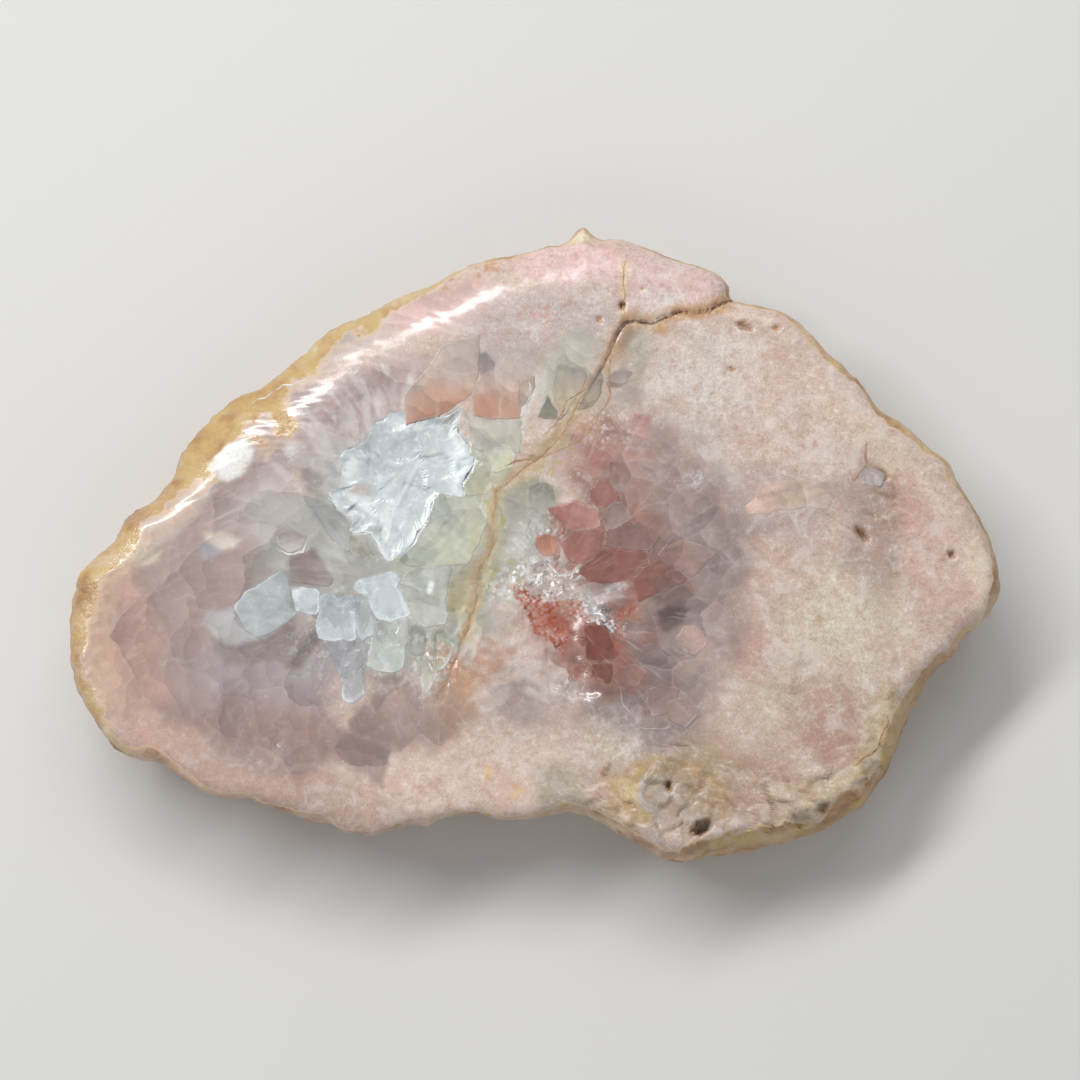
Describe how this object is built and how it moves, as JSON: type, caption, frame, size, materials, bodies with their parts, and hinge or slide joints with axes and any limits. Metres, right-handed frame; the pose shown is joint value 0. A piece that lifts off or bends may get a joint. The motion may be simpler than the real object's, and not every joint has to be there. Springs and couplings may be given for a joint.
{
  "type": "pink amethyst slice",
  "caption": "Polished slice of pink amethyst lying on its sawn flat back, with a rounded polished shoulder, an open crack, a druse of quartz points and a rough ochre rind.",
  "frame": {"origin": "under the middle of the stone's box, on the plane of its sawn back", "axes": "+Z out of the polished face, +X along the length from the pointed translucent end to the broad chalky end, +Y across towards the cracked upper lobe"},
  "size_m": [0.116, 0.081, 0.0151],
  "materials": {
    "pink_amethyst": "polished pink quartz face, rough ochre rind on the side, satin sawn back"
  },
  "bodies": {
    "root": {"amethyst_slice": "pink_amethyst"}
  },
  "joints": []
}
